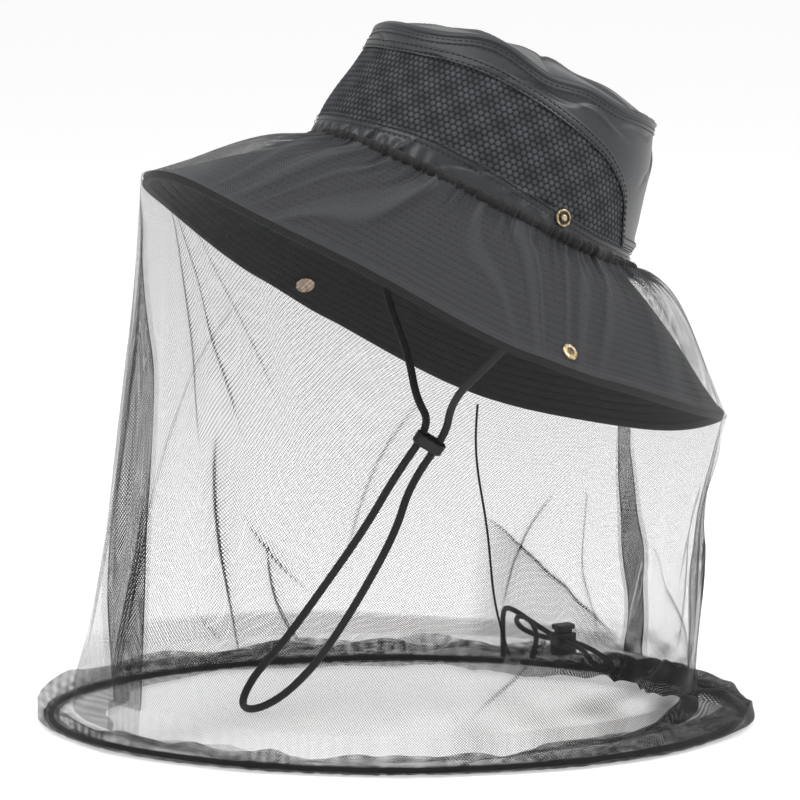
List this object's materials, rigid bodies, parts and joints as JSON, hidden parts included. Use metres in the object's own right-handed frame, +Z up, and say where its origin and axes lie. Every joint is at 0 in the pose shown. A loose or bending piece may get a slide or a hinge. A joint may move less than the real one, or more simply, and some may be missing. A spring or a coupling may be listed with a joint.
{
  "type": "beekeeping veil",
  "caption": "Soft wide-brimmed sun hat carrying a gathered net veil over its brim, closed below by a drawcord hem, with a sliding chin cord.",
  "frame": {"origin": "centre of the head opening, on the plane where the crown's side panel meets the veil's elastic", "axes": "+Z up, hat front faces -Y, +X to the wearer's left; the hat is tilted 23.5 degrees back about X"},
  "size_m": [0.335, 0.3755, 0.4033],
  "materials": {
    "crown_nylon": "smooth, slightly shiny woven nylon",
    "crown_mesh": "knitted scale-patterned mesh",
    "sweatband": "matte cotton twill",
    "brim_cloth": "matte twill, quilted in concentric rows",
    "interlining": "non-woven stiffener",
    "binding_tape": "ribbed woven tape",
    "snap_brass": "aged brass",
    "snap_cap": "dull copper-toned brass",
    "lace": "braided flat lace",
    "slider_plastic": "moulded black plastic",
    "net": "fine knitted polyester net",
    "elastic": "gathered elastic",
    "overlock_thread": "overlocked seam",
    "hem_cloth": "folded net hem",
    "drawcord": "round braided cord",
    "lock_plastic": "moulded black plastic",
    "spring_steel": "bright wire"
  },
  "bodies": {
    "hat_and_veil": {"crown_top_panel": "crown_nylon", "crown_side_panel": "crown_nylon", "crown_mesh_panel": "crown_mesh", "crown_lower_band": "crown_nylon", "sweatband": "sweatband", "brim_upper_layer": "brim_cloth", "brim_interlining": "interlining", "brim_lower_layer": "brim_cloth", "brim_edge_binding": "binding_tape", "crown_snap_stud_left": "snap_brass", "crown_snap_stud_right": "snap_brass", "crown_snap_post_left": "snap_brass", "crown_snap_post_right": "snap_brass", "brim_snap_socket_left": "snap_brass", "brim_snap_socket_right": "snap_brass", "brim_snap_cap_left": "snap_cap", "brim_snap_cap_right": "snap_cap", "chin_cord_tab_left": "binding_tape", "chin_cord_tab_right": "binding_tape", "chin_cord": "lace", "veil_net_curtain": "net", "veil_net_upper": "net", "veil_elastic": "elastic", "veil_seam": "overlock_thread", "veil_hem_casing": "hem_cloth", "drawcord": "drawcord", "drawcord_loop": "drawcord"},
    "chin_slider_bead": {"chin_slider": "slider_plastic"},
    "cord_lock": {"cord_lock_body": "lock_plastic", "cord_lock_spring": "spring_steel"},
    "cord_lock_plunger": {"cord_lock_button": "lock_plastic"}
  },
  "joints": [
    {"name": "chin_slider_slide", "type": "slide", "parent": "hat_and_veil", "child": "chin_slider_bead", "axis": [-0.4431, -0.3621, -0.8201], "range_m": [0, 0.016]},
    {"name": "cord_lock_slide", "type": "slide", "parent": "hat_and_veil", "child": "cord_lock", "axis": [1, 0, 0], "range_m": [0, 0.012]},
    {"name": "cord_lock_press", "type": "slide", "parent": "cord_lock", "child": "cord_lock_plunger", "axis": [0, 0, -1], "range_m": [0, 0.0022], "stiffness_N_per_m": 400, "springref_m": -0.003, "deforming": ["cord_lock_spring"]}
  ]
}
